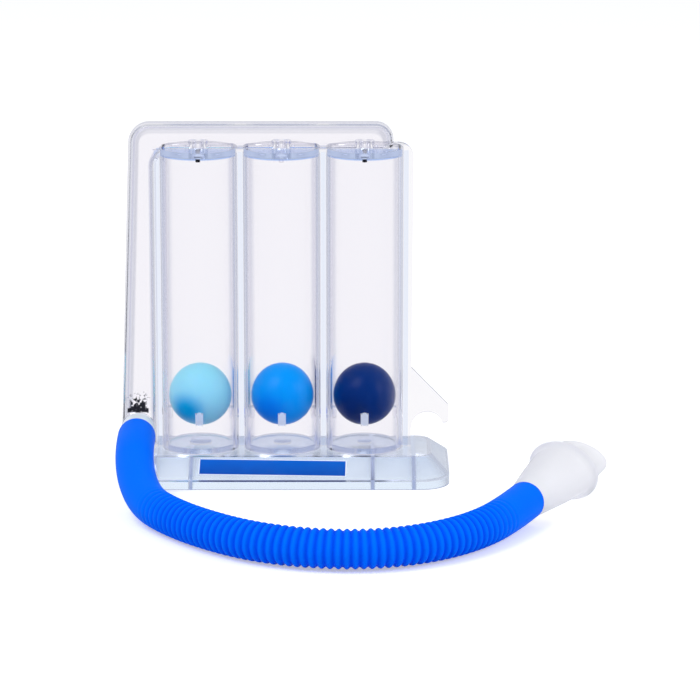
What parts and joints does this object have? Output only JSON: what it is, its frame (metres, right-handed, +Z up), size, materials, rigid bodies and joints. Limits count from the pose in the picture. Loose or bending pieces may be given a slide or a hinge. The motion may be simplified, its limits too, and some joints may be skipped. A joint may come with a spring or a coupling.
{
  "type": "incentive spirometer",
  "caption": "Clear upright incentive spirometer: balls rise in side-by-side tubes over a ribbed base, with a blue corrugated hose and a frosted mouthpiece lying on the table.",
  "frame": {"origin": "on the table, under the middle of the base's length and depth", "axes": "+X to the right as the user reads the tubes, +Y away from the user, +Z up"},
  "size_m": [0.1938, 0.1785, 0.1424],
  "materials": {
    "clear_polystyrene": "clear moulded polystyrene with a faint lilac edge colour",
    "clear_polystyrene_base": "clear moulded polystyrene, ribbed below",
    "clear_polystyrene_port": "clear moulded polystyrene, thick walled",
    "pale_blue_ball": "moulded ball, slightly translucent",
    "blue_ball": "moulded ball",
    "navy_ball": "moulded ball",
    "printed_label": "plain printed film label with a white edge",
    "blue_polythene": "blown corrugated hose with smooth ends, soft sheen",
    "frosted_polythene": "translucent frosted moulding"
  },
  "bodies": {
    "body": {"front_shell": "clear_polystyrene", "back_shell": "clear_polystyrene", "base": "clear_polystyrene_base", "hose_port": "clear_polystyrene_port", "label": "printed_label", "hose": "blue_polythene"},
    "ball_left": {"ball_pale_blue": "pale_blue_ball"},
    "ball_middle": {"ball_blue": "blue_ball"},
    "ball_right": {"ball_navy": "navy_ball"},
    "mouthpiece": {"mouthpiece": "frosted_polythene"}
  },
  "joints": [
    {"name": "ball_left_rise", "type": "slide", "parent": "body", "child": "ball_left", "axis": [0, 0, 1], "range_m": [0, 0.0829]},
    {"name": "ball_middle_rise", "type": "slide", "parent": "body", "child": "ball_middle", "axis": [0, 0, 1], "range_m": [0, 0.0829]},
    {"name": "ball_right_rise", "type": "slide", "parent": "body", "child": "ball_right", "axis": [0, 0, 1], "range_m": [0, 0.0829]},
    {"name": "mouthpiece_pull", "type": "slide", "parent": "body", "child": "mouthpiece", "axis": [0.4238, 0.9031, 0.0695], "range_m": [0, 0.011]}
  ]
}
